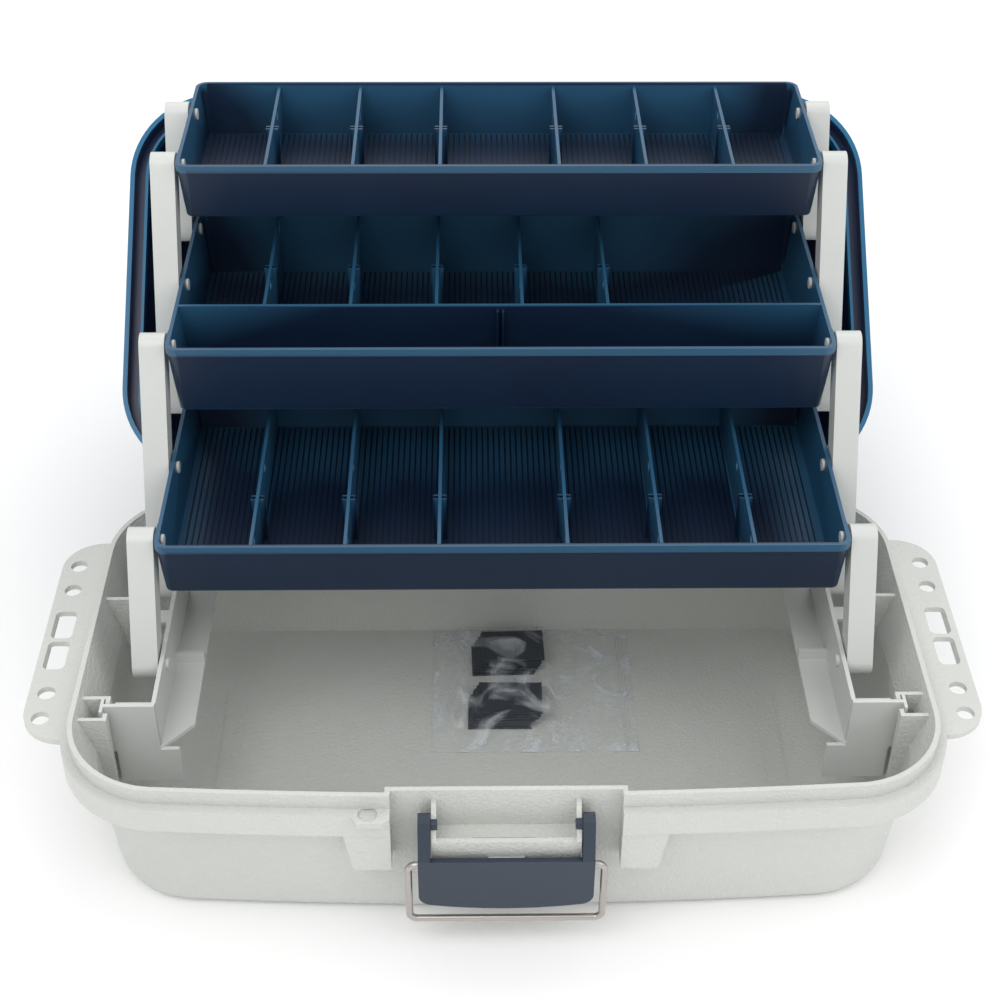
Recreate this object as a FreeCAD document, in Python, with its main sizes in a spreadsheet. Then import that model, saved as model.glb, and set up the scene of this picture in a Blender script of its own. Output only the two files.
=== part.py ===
"""Three-tray cantilever tackle box: white base, blue lid and three blue trays that swing up on white arms.

Millimetres. The origin is the middle of the base's underside, X runs along the box, Y to its back and Z up.
The lid is open, leaning back on its hinge, and the trays are raised.
"""
import FreeCAD
import Part
import math
import os
import Sketcher

# Driving dimensions, each one a cell of the sheet.
DRIVING = {
    "base_height": 88.0, "floor_thick": 2.5, "wall": 2.3, "draft": 5.0,
    "body_half_length": 185.0, "body_half_depth": 94.5, "front_bow": 4.5, "body_corner": 42.0,
    "collar_half_length": 202.0, "collar_half_depth": 109.5, "collar_low": 67.0, "ledge_level": 80.0,
    "collar_corner": 50.0, "rim_half_length": 198.0, "rim_half_depth": 105.0, "rim_corner": 46.0,
    "neck_level": 64.0, "waist_half_length": 188.2, "waist_half_depth": 97.7, "bottom_round": 7.0,
    "recess_half_length": 51.0, "recess_front": 102.5, "recess_low": 43.0, "recess_top": 84.6,
    "tab_outer": 72.0, "tab_low": 44.0, "padlock_hole": 4.3, "padlock_x": 60.5, "padlock_y": 110.5,
    "wing_reach": 221.5, "wing_front": 66.0, "wing_back": 74.0, "wing_top": 80.0, "wing_thick": 3.0,
    "wing_round": 24.0, "wing_hole_x": 213.2, "wing_hole": 4.6, "slot_half_width": 5.8,
    "slot_half_length": 20.5, "slot_bar": 2.4, "wing_skirt": 12.0,
    "arm_run": 26.5, "arm_rise": 54.0, "pivot_gap": 57.0, "pivot_y": -15.0, "pivot_level": 79.1,
    "pivot_back": 12.0, "pivot_drop": 5.5, "pin_radius": 3.0, "pin_play": 0.08, "loose_play": 0.25,
    "arm_inner": 163.1, "arm_width": 12.3, "arm_round": 6.5, "arm_wall": 1.8, "pin_reach": 4.3,
    "tray_half_length": 162.0, "tray_wall": 1.8, "tray_floor": 1.8, "tray_draft": 5.0, "tray_round": 6.0,
    "low_height": 29.4, "middle_height": 38.0, "top_height": 30.2, "deep_tray": 138.0, "top_depth": 96.5,
    "lip_out": 0.3, "lip_height": 4.0, "divider_thick": 1.6, "divider_gap": 2.0, "trough_depth": 41.0,
    "trough_drop": 6.0,
    "plate_inner": 160.4, "channel_inner": 181.7, "plate_thick": 2.0, "plate_top": 85.0, "plate_low": 56.0, "plate_front": -48.0,
    "plate_back": 62.0, "shelf_level": 58.0, "shelf_inner": 146.5, "panel_thick": 2.0, "panel_low": 36.0, "rear_panel_top": 73.0,
    "hinge_y": 115.0, "hinge_level": 84.0, "lid_angle": 140.0, "hinge_pin": 2.0, "knuckle_round": 4.6,
    "lid_low": 81.0, "lid_half_length": 201.2, "lid_half_depth": 108.2, "lid_top": 206.0, "lid_band": 92.0,
    "lid_body_length": 196.5, "lid_body_depth": 104.0, "lid_narrowing": 9.0, "lid_wall": 2.4,
    "lid_corner": 48.0, "lid_crown": 5.0, "ridge_out": 193.6, "ridge_thick": 1.6,
    "lever_pivot_y": -111.0, "lever_pivot_level": 72.0, "lever_half_length": 39.0, "cheek_half": 33.0,
    "cheek_thick": 2.2, "lever_length": 44.0, "lever_thick": 2.6, "bail_level": 57.5, "bail_y": -117.5,
    "bail_wire": 1.6, "bail_half_length": 43.3, "bail_drop": 36.0,
    "handle_half_length": 58.0, "handle_reach": 34.0, "handle_thick": 9.0, "handle_pin": 2.5,
    "spare_length": 34.0, "spare_height": 24.0, "spare_thick": 1.5,
}


class Size:
    """A number as it is now, with the sheet formula that it comes from."""

    def __init__(self, value, text):
        self.value = float(value)
        self.text = text

    @staticmethod
    def of(other):
        return other if isinstance(other, Size) else Size(other, repr(float(other)))

    def _join(self, other, sign, value):
        return Size(value, "(" + self.text + " " + sign + " " + Size.of(other).text + ")")

    def __add__(self, other):
        return self._join(other, "+", self.value + Size.of(other).value)

    def __sub__(self, other):
        return self._join(other, "-", self.value - Size.of(other).value)

    def __mul__(self, other):
        return self._join(other, "*", self.value * Size.of(other).value)

    def __truediv__(self, other):
        return self._join(other, "/", self.value / Size.of(other).value)

    def __neg__(self):
        return Size(-self.value, "(0 - " + self.text + ")")

    __radd__ = __add__

    def __rmul__(self, other):
        return self * other

    def __rsub__(self, other):
        return Size.of(other) - self


doc = FreeCAD.newDocument("tackle_box")
sheet = doc.addObject("Spreadsheet::Sheet", "Sizes")
for row, (name, value) in enumerate(DRIVING.items(), start=1):
    sheet.set("A%d" % row, name)
    sheet.set("B%d" % row, str(value))
    sheet.setAlias("B%d" % row, name)
doc.recompute()
S = {name: Size(value, "Sizes." + name) for name, value in DRIVING.items()}


def bind(thing, prop, amount):
    """Sets a property, and ties it to its formula where it has one."""
    amount = Size.of(amount)
    thing.setExpression(prop, amount.text)


class Piece:
    """One moulded or bent piece: a PartDesign body with pads, pockets and rounded edges."""

    def __init__(self, label):
        self.body = doc.addObject("PartDesign::Body", label)
        self.body.Label = label
        self.count = 0

    def outline(self, role, level, corners, arcs=None):
        """A closed sketch on an origin plane, raised by level; arcs gives an edge a sagitta."""
        self.count += 1
        sketch = self.body.newObject("Sketcher::SketchObject", "%s_outline_%d" % (self.body.Name, self.count))
        plane = next(f for f in self.body.Origin.OriginFeatures if f.Role == role)
        sketch.AttachmentSupport = [(plane, "")]
        sketch.MapMode = "FlatFace"
        bind(sketch, "AttachmentOffset.Base.z", level)
        points = [(Size.of(x), Size.of(y)) for x, y in corners]
        total = len(points)
        for i, (x, y) in enumerate(points):
            u, v = points[(i + 1) % total]
            start = FreeCAD.Vector(x.value, y.value, 0)
            end = FreeCAD.Vector(u.value, v.value, 0)
            if arcs and i in arcs:
                chord = end - start
                side = FreeCAD.Vector(chord.y, -chord.x, 0).normalize() * Size.of(arcs[i]).value
                sketch.addGeometry(Part.Arc(start, (start + end) * 0.5 + side, end), False)
            else:
                sketch.addGeometry(Part.LineSegment(start, end), False)
        flipped = set()
        for i in arcs or {}:
            first = sketch.Geometry[i].StartPoint
            if (first - FreeCAD.Vector(points[i][0].value, points[i][1].value, 0)).Length > 1e-3:
                flipped.add(i)
        for i in range(total):
            j = (i + 1) % total
            sketch.addConstraint(Sketcher.Constraint(
                "Coincident", i, 1 if i in flipped else 2, j, 2 if j in flipped else 1))
        for i, (x, y) in enumerate(points):
            end = 2 if i in flipped else 1
            for kind, amount, axis in (("DistanceX", x, -2), ("DistanceY", y, -1)):
                if abs(amount.value) < 1e-9:
                    sketch.addConstraint(Sketcher.Constraint("PointOnObject", i, end, axis))
                else:
                    c = sketch.addConstraint(Sketcher.Constraint(kind, -1, 1, i, end, amount.value))
                    sketch.setExpression("Constraints[%d]" % c, amount.text)
        for i, sagitta in (arcs or {}).items():
            across = points[(i + 1) % total][0] - points[i][0]
            along = points[(i + 1) % total][1] - points[i][1]
            sagitta = Size.of(sagitta)
            radius = ((across * across + along * along) / 4 + sagitta * sagitta) / (sagitta * 2)
            c = sketch.addConstraint(Sketcher.Constraint("Radius", i, radius.value))
            sketch.setExpression("Constraints[%d]" % c, radius.text)
        return sketch

    def circle(self, role, level, x, y, radius):
        """A round sketch on an origin plane."""
        self.count += 1
        sketch = self.body.newObject("Sketcher::SketchObject", "%s_circle_%d" % (self.body.Name, self.count))
        plane = next(f for f in self.body.Origin.OriginFeatures if f.Role == role)
        sketch.AttachmentSupport = [(plane, "")]
        sketch.MapMode = "FlatFace"
        bind(sketch, "AttachmentOffset.Base.z", level)
        x, y, radius = Size.of(x), Size.of(y), Size.of(radius)
        middle = FreeCAD.Vector(x.value, y.value, 0)
        sketch.addGeometry(Part.Circle(middle, FreeCAD.Vector(0, 0, 1), radius.value), False)
        for kind, amount, axis in (("DistanceX", x, -2), ("DistanceY", y, -1)):
            if abs(amount.value) < 1e-9:
                sketch.addConstraint(Sketcher.Constraint("PointOnObject", 0, 3, axis))
            else:
                c = sketch.addConstraint(Sketcher.Constraint(kind, -1, 1, 0, 3, amount.value))
                sketch.setExpression("Constraints[%d]" % c, amount.text)
        c = sketch.addConstraint(Sketcher.Constraint("Radius", 0, radius.value))
        sketch.setExpression("Constraints[%d]" % c, radius.text)
        return sketch

    def _feature(self, kind, sketch, length, taper, back, middle):
        before = self.body.Shape.Volume if self.body.Tip else 0.0
        feature = self.body.newObject("PartDesign::" + kind, "%s_%s_%d" % (self.body.Name, kind, self.count))
        feature.Profile = sketch
        bind(feature, "Length", length)
        feature.Reversed = back
        feature.Midplane = middle
        if taper is not None:
            bind(feature, "TaperAngle", taper)
        doc.recompute()
        if abs(self.body.Shape.Volume - before) < 1e-3:
            raise RuntimeError(feature.Name + " changes nothing")
        return feature

    def pad(self, sketch, length, taper=None, back=False, middle=False):
        return self._feature("Pad", sketch, length, taper, back, middle)

    def pocket(self, sketch, length, taper=None, back=False, middle=False):
        return self._feature("Pocket", sketch, length, taper, back, middle)

    def loft(self, kind, start, end):
        """A drafted block, or a drafted hollow, between two outlines."""
        before = self.body.Shape.Volume if self.body.Tip else 0.0
        feature = self.body.newObject("PartDesign::" + kind, "%s_%s_%d" % (self.body.Name, kind, self.count))
        feature.Profile = start
        feature.Sections = [end]
        feature.Ruled = True
        doc.recompute()
        if abs(self.body.Shape.Volume - before) < 1e-3:
            raise RuntimeError(feature.Name + " changes nothing")
        return feature

    def round_edges(self, radius, chosen):
        """Rounds the edges of the tip that chosen() picks."""
        tip = self.body.Tip
        names = ["Edge%d" % (i + 1) for i, e in enumerate(tip.Shape.Edges) if chosen(e)]
        if not names:
            raise RuntimeError(self.body.Label + ": no edge to round")
        self.count += 1
        fillet = self.body.newObject("PartDesign::Fillet", "%s_round_%d" % (self.body.Name, self.count))
        fillet.Base = (tip, names)
        bind(fillet, "Radius", radius)
        doc.recompute()
        if "Invalid" in fillet.State or fillet.Shape.isNull() or not fillet.Shape.isValid():
            raise RuntimeError(fillet.Name + " failed")
        return fillet

    def box(self, low, high):
        """A block between two corners, added to the piece."""
        sketch = self.outline("XY_Plane", low[2], rectangle(low[0], low[1], high[0], high[1]))
        return self.pad(sketch, Size.of(high[2]) - low[2])

    def cut_box(self, low, high):
        """A block between two corners, cut from the piece."""
        sketch = self.outline("XY_Plane", high[2], rectangle(low[0], low[1], high[0], high[1]))
        return self.pocket(sketch, Size.of(high[2]) - low[2])


def rectangle(x0, y0, x1, y1):
    return [(x0, y0), (x1, y0), (x1, y1), (x0, y1)]


def rounded(x0, y0, x1, y1, corner, bow=None):
    """A rectangle with round corners; bow swells its front edge outward. Gives corners and arcs."""
    x0, y0, x1, y1, r = (Size.of(q) for q in (x0, y0, x1, y1, corner))
    corners = [(x0 + r, y0), (x1 - r, y0), (x1, y0 + r), (x1, y1 - r),
               (x1 - r, y1), (x0 + r, y1), (x0, y1 - r), (x0, y0 + r)]
    arcs = {i: r * (1 - math.sqrt(0.5)) for i in (1, 3, 5, 7)}
    if bow is not None:
        arcs[0] = Size.of(bow)
    return corners, arcs


def bowed(half_length, half_depth, corner):
    """The plan shape of the tub and lid: round corners and a front that swells a little."""
    return rounded(-half_length, -half_depth, half_length, half_depth, corner, S["front_bow"])


def upright(edge, low, high, least_x=0.0):
    """True for a standing edge within a height band, such as a corner of a wall."""
    if len(edge.Vertexes) != 2:
        return False
    a, b = edge.Vertexes[0].Point, edge.Vertexes[1].Point
    span = abs(a.z - b.z)
    return (span > 0.85 * (a - b).Length and min(a.z, b.z) > low - 0.01 and max(a.z, b.z) < high + 0.01
            and abs(a.x) > least_x)


def flat_at(edge, level):
    """True for an edge that lies at one level."""
    box = edge.BoundBox
    return abs(box.ZMin - level) < 0.02 and abs(box.ZMax - level) < 0.02


# ---------------------------------------------------------------- base

def make_base():
    """The white tub, with its collar, rim, latch bracket, wings and bracket channels, moulded in one."""
    base = Piece("base")
    base.pad(base.outline("XY_Plane", 0, *bowed(S["body_half_length"], S["body_half_depth"], S["body_corner"])),
             S["ledge_level"], taper=S["draft"])
    base.round_edges(S["bottom_round"], lambda e: flat_at(e, 0))
    collar = base.outline("XY_Plane", S["collar_low"],
                          *bowed(S["collar_half_length"], S["collar_half_depth"], S["collar_corner"]))
    base.pad(collar, S["ledge_level"] - S["collar_low"])
    rim = base.outline("XY_Plane", S["ledge_level"],
                       *bowed(S["rim_half_length"], S["rim_half_depth"], S["rim_corner"]))
    base.pad(rim, S["base_height"] - S["ledge_level"])
    make_wings(base)
    # Latch recess: the collar and rim stop either side of it.
    base.cut_box((-S["recess_half_length"], -140, S["recess_low"]),
                 (S["recess_half_length"], -S["recess_front"], S["base_height"]))
    # Cavity: a neck under the rim, then the tub, which narrows to the floor.
    wall = S["wall"]
    mouth = base.outline("XY_Plane", S["base_height"], *bowed(
        S["rim_half_length"] - wall, S["rim_half_depth"] - wall, S["rim_corner"] - wall))
    waist = base.outline("XY_Plane", S["neck_level"], *bowed(
        S["waist_half_length"], S["waist_half_depth"], S["body_corner"]))
    base.loft("SubtractiveLoft", mouth, waist)
    waist = base.outline("XY_Plane", S["neck_level"], *bowed(
        S["waist_half_length"], S["waist_half_depth"], S["body_corner"]))
    floor = base.outline("XY_Plane", S["floor_thick"], *bowed(
        S["body_half_length"] - wall, S["body_half_depth"] - wall, S["body_corner"] - wall))
    base.loft("SubtractiveLoft", waist, floor)
    make_recess(base)
    make_channels(base)
    make_hinge_blocks(base)
    return base


def make_wings(base):
    """A pierced flange at each end, with a turned-down edge at its front."""
    for side in (-1, 1):
        root, reach = S["rim_half_length"] - 1, S["wing_reach"]
        level = S["wing_top"] - S["wing_thick"]
        low, high = sorted((side * (root - 40), side * reach), key=lambda q: q.value)
        plate = base.outline("XY_Plane", level,
                             *rounded(low, -S["wing_front"], high, S["wing_back"], S["wing_round"] * 0.8))
        base.pad(plate, S["wing_thick"])
        rail = sorted((side * (reach - 2.4), side * reach), key=lambda q: q.value)
        base.box((rail[0], -S["wing_front"] + 20, level - 5), (rail[1], S["wing_back"] - 20, level + 0.5))
        for y in (57.0, 38.5, -34.5, -51.0):
            hole = base.circle("XY_Plane", S["wing_top"], side * S["wing_hole_x"], y - 1, S["wing_hole"] * 0.9)
            base.pocket(hole, S["wing_thick"] + 1)
        for start, end in ((-S["slot_half_length"], -S["slot_bar"] / 2), (S["slot_bar"] / 2, S["slot_half_length"])):
            left, right = S["wing_hole_x"] * side - 5.2, S["wing_hole_x"] * side + 5.2
            window = base.outline("XY_Plane", S["wing_top"], *rounded(left, start + 1, right, end + 1, 3.0))
            base.pocket(window, S["wing_thick"] + 1)


def make_recess(base):
    """The wall of the latch recess, the tabs beside it, the padlock ear and the latch bracket."""
    front, half = S["recess_front"], S["recess_half_length"]
    base.box((-half - S["wall"], -front, S["neck_level"] - 12), (half + S["wall"], -front + S["wall"], S["recess_top"]))
    for side in (-1, 1):
        low, high = sorted((side * half, side * (half + S["wall"])), key=lambda q: q.value)
        base.box((low, -S["rim_half_depth"] - 1.5, S["neck_level"]), (high, -front + 0.5, S["recess_top"]))
        low, high = sorted((side * half, side * S["tab_outer"]), key=lambda q: q.value)
        tab = base.outline("XZ_Plane", 98.0, [
            (low + (4 if side < 0 else 0), S["tab_low"]), (high - (4 if side > 0 else 0), S["tab_low"]),
            (high, S["collar_low"] + 1), (low, S["collar_low"] + 1)])
        base.pad(tab, S["collar_half_depth"] + 2.9 - 98.0)
    ear = base.outline("XY_Plane", S["ledge_level"] - 3, [
        (-half, -106.0), (-half, -S["padlock_y"] - 5), (-half - 3, -S["padlock_y"] - 7),
        (-half - 14, -S["padlock_y"] - 7), (-half - 22, -106.0)])
    base.pad(ear, 3)
    base.pocket(base.circle("XY_Plane", S["ledge_level"], -S["padlock_x"], -S["padlock_y"] - 1.5,
                            S["padlock_hole"]), 1.2)
    # The bracket is an open trough between two cheeks.
    cheek, thick = S["cheek_half"], S["cheek_thick"]
    for side in (-1, 1):
        low, high = sorted((side * cheek, side * (cheek - thick)), key=lambda q: q.value)
        plate = base.outline("YZ_Plane", low, [
            (-front + 0.5, 79.0), (-front - 2.5, 79.0), (-116.5, 66.5), (-115.5, 53.0), (-front + 3, 50.0)])
        base.pad(plate, thick)
    trough = base.outline("YZ_Plane", 0, [
        (-front + 3, 62.5), (-113.5, 62.5), (-114.0, 66.5), (-116.5, 66.5), (-115.5, 53.0), (-front + 3, 50.0)])
    base.pad(trough, cheek * 2 - 1, middle=True)
    base.pocket(base.outline("XY_Plane", 66.5, rectangle(-15.0, -112.8, 13.0, -110.2)), 7.0)
    base.box((-8.0, -117.6, 50.5), (8.0, -114.0, 56.0))
    hole = base.circle("YZ_Plane", -cheek - 1, S["lever_pivot_y"], S["lever_pivot_level"],
                       S["pin_radius"] * 0.8 + S["pin_play"])
    base.pocket(hole, cheek * 2 + 2, back=True)


def make_channels(base):
    """Upright channels on the end walls that hold the tray brackets, and pads under the rim."""
    for side in (-1, 1):
        inner = side * S["channel_inner"]
        for y in (-58.0, -44.0, 25.6):
            rib = base.outline("XZ_Plane", -y - 2.0, [
                (inner, 34.0), (side * 186.6, 34.0), (side * 189.3, S["neck_level"]), (side * 196.2, 84.0),
                (inner, 84.0)])
            base.pad(rib, 2.0)
        low, high = sorted((inner, inner + side * 2.0), key=lambda q: q.value)
        for start, end in ((-56.5, -53.2), (-46.8, -43.5)):
            base.box((low, start, 34.0), (high, end, 84.0))
    for x in (-138.0, 138.0):
        base.box((x - 5.0, -34.0, S["floor_thick"] - 0.5), (x + 5.0, 46.0, S["floor_thick"] + 0.5))


def make_hinge_blocks(base):
    """Two pairs of hinge knuckles on the back of the collar."""
    for middle in (-110.0, 110.0):
        for offset in (-16.0, 16.0):
            arm = base.outline("YZ_Plane", middle + offset - 5.0, [
                (106.0, 70.0), (S["collar_half_depth"] + 0.2, 70.0), (S["hinge_y"] + 4.0, S["hinge_level"] - 3.0),
                (S["hinge_y"] + 4.0, S["hinge_level"] + 3.0), (S["hinge_y"] - 4.0, S["hinge_level"] + 3.0),
                (S["collar_half_depth"] + 0.2, S["ledge_level"]), (106.0, S["ledge_level"])])
            base.pad(arm, 10)
        bore = base.circle("YZ_Plane", middle - 30.0, S["hinge_y"], S["hinge_level"],
                           S["hinge_pin"] + 0.05)
        base.pocket(bore, 60, back=True)


# ---------------------------------------------------------------- lid

def make_lid():
    """The deep blue lid, built shut over the base and then swung open about its hinge."""
    lid = Piece("lid")
    lower = lid.outline("XY_Plane", S["lid_band"],
                        *bowed(S["lid_body_length"], S["lid_body_depth"], S["lid_corner"] - 4))
    upper = lid.outline("XY_Plane", S["lid_top"], *bowed(
        S["lid_body_length"] - S["lid_narrowing"], S["lid_body_depth"] - S["lid_narrowing"], S["lid_corner"] - 8))
    lid.loft("AdditiveLoft", lower, upper)
    edge = lid.outline("XY_Plane", S["lid_top"], *bowed(
        S["lid_body_length"] - S["lid_narrowing"], S["lid_body_depth"] - S["lid_narrowing"], S["lid_corner"] - 8))
    inset = S["lid_narrowing"] + S["lid_crown"] * 2
    crown = lid.outline("XY_Plane", S["lid_top"] + S["lid_crown"], *bowed(
        S["lid_body_length"] - inset, S["lid_body_depth"] - inset, S["lid_corner"] - 14))
    lid.loft("AdditiveLoft", edge, crown)
    band = lid.outline("XY_Plane", S["lid_low"],
                       *bowed(S["lid_half_length"], S["lid_half_depth"], S["lid_corner"]))
    lid.pad(band, S["lid_band"] - S["lid_low"])
    # Groove for the base's rim, inside the band, and the ridge beside it.
    groove = lid.outline("XY_Plane", S["lid_low"], *bowed(
        S["lid_half_length"] - 2.5, S["lid_half_depth"] - 2.5, S["lid_corner"] - 2.5))
    lid.pocket(groove, 8.6, back=True)
    ridge_depth = S["ridge_out"] - S["rim_half_length"] + S["rim_half_depth"]
    ridge = lid.outline("XY_Plane", S["lid_low"] + 4.5, *bowed(S["ridge_out"], ridge_depth, S["lid_corner"] - 9))
    lid.pad(ridge, 4.6)
    mouth = lid.outline("XY_Plane", S["lid_low"] + 4.4, *bowed(
        S["ridge_out"] - S["ridge_thick"], ridge_depth - S["ridge_thick"], S["lid_corner"] - 11))
    lid.pocket(mouth, S["lid_band"] - S["lid_low"] - 4.2, back=True)
    wide = lid.outline("XY_Plane", S["lid_band"], *bowed(
        S["lid_body_length"] - S["lid_wall"], S["lid_body_depth"] - S["lid_wall"], S["lid_corner"] - 6))
    inset = S["lid_narrowing"] + S["lid_wall"]
    ceiling = lid.outline("XY_Plane", S["lid_top"], *bowed(
        S["lid_body_length"] - inset, S["lid_body_depth"] - inset, S["lid_corner"] - 10))
    lid.loft("SubtractiveLoft", wide, ceiling)
    # Catch that the latch's bail hooks over, on the front of the lid.
    catch = lid.outline("YZ_Plane", 0, [
        (-106.0, 94.0), (-114.5, 95.0), (-115.0, 101.0), (-117.5, 104.0), (-115.0, 107.5), (-105.0, 109.0)])
    lid.pad(catch, 56, middle=True)
    # Knuckles between the base's knuckles.
    for middle in (-110.0, 110.0):
        ear = lid.outline("YZ_Plane", middle - 10.4, [
            (103.0, 91.0), (103.0, 103.0), (S["hinge_y"] + 4.0, S["hinge_level"] + 4.5),
            (S["hinge_y"] + 4.2, S["hinge_level"] - 3.5), (S["hinge_y"] - 4.0, S["hinge_level"] - 3.5),
            (S["hinge_y"] - 4.0, 91.0)])
        lid.pad(ear, 20.8)
        bore = lid.circle("YZ_Plane", middle - 12.0, S["hinge_y"], S["hinge_level"], S["hinge_pin"] + 0.05)
        lid.pocket(bore, 24, back=True)
        # The base's knuckles pass the lid's band through notches.
        for offset in (-16.0, 16.0):
            lid.cut_box((middle + offset - 5.6, 104.6, 79.0), (middle + offset + 5.6, 122.0, 92.6))
    # Two lugs for the carrying handle.
    for side in (-1, 1):
        low, high = sorted((side * (S["handle_half_length"] + 0.4), side * (S["handle_half_length"] + 7.0)),
                           key=lambda q: q.value)
        lug = lid.outline("YZ_Plane", low, [(-10.0, 210.0), (-5.5, 222.0), (5.5, 222.0), (10.0, 210.0)])
        lid.pad(lug, 6.6)
        lid.pocket(lid.circle("YZ_Plane", low - 1, 0, 216.4, S["handle_pin"] + 0.08), 9, back=True)
    return lid


# ---------------------------------------------------------------- trays

FIXED_DIVIDERS = (-117.6, -73.8, -30.0, 30.0, 73.8, 117.6)
MIDDLE_DIVIDERS = (-118.0, -75.0, -32.0, 11.0, 54.0)


def make_tray(label, front, rim, height, depth, pivots, loose, dividers, trough=False):
    """An open tray with drafted walls, a rim lip in front, fixed dividers and pivot holes in its ends."""
    tray = Piece(label)
    half = S["tray_half_length"]
    back = front + depth
    wall = S["tray_wall"]
    outer = tray.outline("XY_Plane", rim, *rounded(-half, front, half, back, S["tray_round"]))
    tray.pad(outer, height, taper=-S["tray_draft"], back=True)
    low = (rim - height).value
    tray.round_edges(1.6, lambda e: flat_at(e, low))
    lip = tray.outline("XY_Plane", rim - S["lip_height"], *rounded(
        -half - S["lip_out"], front - S["lip_out"], half + S["lip_out"], front + 22, S["tray_round"]))
    tray.pad(lip, S["lip_height"])
    cavity = tray.outline("XY_Plane", rim, *rounded(
        -half + wall, front + wall, half - wall, back - wall, S["tray_round"] - wall))
    tray.pocket(cavity, height - S["tray_floor"], taper=-S["tray_draft"])
    top = rim - S["divider_gap"]
    start = front + (S["trough_depth"] if trough else Size.of(0.0))
    floor = rim - height + S["tray_floor"] * 0.5
    lean = (height - S["tray_floor"]) * math.tan(math.radians(DRIVING["tray_draft"]))
    into = wall / 2
    front_lean = Size.of(0.0) if trough else lean
    for x in dividers:
        plate = tray.outline("YZ_Plane", Size.of(x) - S["divider_thick"] / 2, [
            (start + into + front_lean, floor), (back - into - lean, floor), (back - into, top), (start + into, top)])
        tray.pad(plate, S["divider_thick"])
    if trough:
        across = tray.outline("XZ_Plane", -start, [
            (-half + into + lean, floor), (half - into - lean, floor), (half - into, rim), (-half + into, rim)])
        tray.pad(across, wall)
        for x in (-1.9, 0.9):
            guide = tray.outline("YZ_Plane", x, [
                (front + into + lean, floor), (front + 6.5, floor), (front + 4.5, rim - 2), (front + into, rim - 2)])
            tray.pad(guide, 1.0)
            tray.box((x, start - 5, floor), (x + 1.0, start - 1, rim - 2))
    # Pairs of small ribs that hold a loose divider, halfway along each fixed one.
    clip = front + depth / 2 if depth.value < 120 else start + 41
    for x in dividers:
        for side in (-1, 1):
            for step in (-1.9, 0.7):
                edge = Size.of(x) + side * S["divider_thick"] / 2
                near, far = sorted((edge, edge + side * 2.4), key=lambda q: q.value)
                tray.box((near - 0.1, clip + step, floor), (far, clip + step + 1.2, top - 1))
    for y, play in [(p, S["pin_play"]) for p in pivots] + [(p, S["loose_play"]) for p in loose]:
        hole = tray.circle("YZ_Plane", -half - 2, y, rim - S["pivot_drop"], S["pin_radius"] + play)
        tray.pocket(hole, half * 2 + 4, back=True)
    return tray


# ---------------------------------------------------------------- arms

def make_arm(label, side, y, level, pins):
    """A white channel-section arm standing on its lowest pivot and leaning back, with pins on its inner face."""
    arm = Piece(label)
    run, rise = S["arm_run"].value, S["arm_rise"].value
    pitch = math.hypot(run, rise)
    reach = pitch * (len(pins) - 1)
    r, wall, width = S["arm_round"], S["arm_wall"], S["arm_width"]
    near = side * S["arm_inner"]
    low = near if side > 0 else near - width
    shaft = arm.outline("YZ_Plane", low, rectangle(-r, 0, r, reach))
    arm.pad(shaft, width)
    for z in (0.0, reach):
        arm.pad(arm.circle("YZ_Plane", low, 0, z, r), width)
    hollow = arm.outline("YZ_Plane", low + wall, [
        (-r + wall, -0.0 - 1.5), (-r + wall + 2.4, -r + wall), (r + 1, -r + wall), (r + 1, reach + r.value - 1.8),
        (-r + wall + 2.4, reach + r.value - 1.8), (-r + wall, reach + 1.5)])
    arm.pocket(hollow, width - wall * 2, back=True)
    for z in pins:
        start = near - S["pin_reach"] if side > 0 else near - 1
        arm.pad(arm.circle("YZ_Plane", start, 0, z * pitch, S["pin_radius"]), S["pin_reach"] + 1)
    lean = math.degrees(math.atan2(run, rise))
    turn = FreeCAD.Rotation(FreeCAD.Vector(1, 0, 0), -lean)
    arm.body.Placement = FreeCAD.Placement(FreeCAD.Vector(0, y.value, level.value), turn)
    return arm


# ---------------------------------------------------------------- brackets and small pieces

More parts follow.
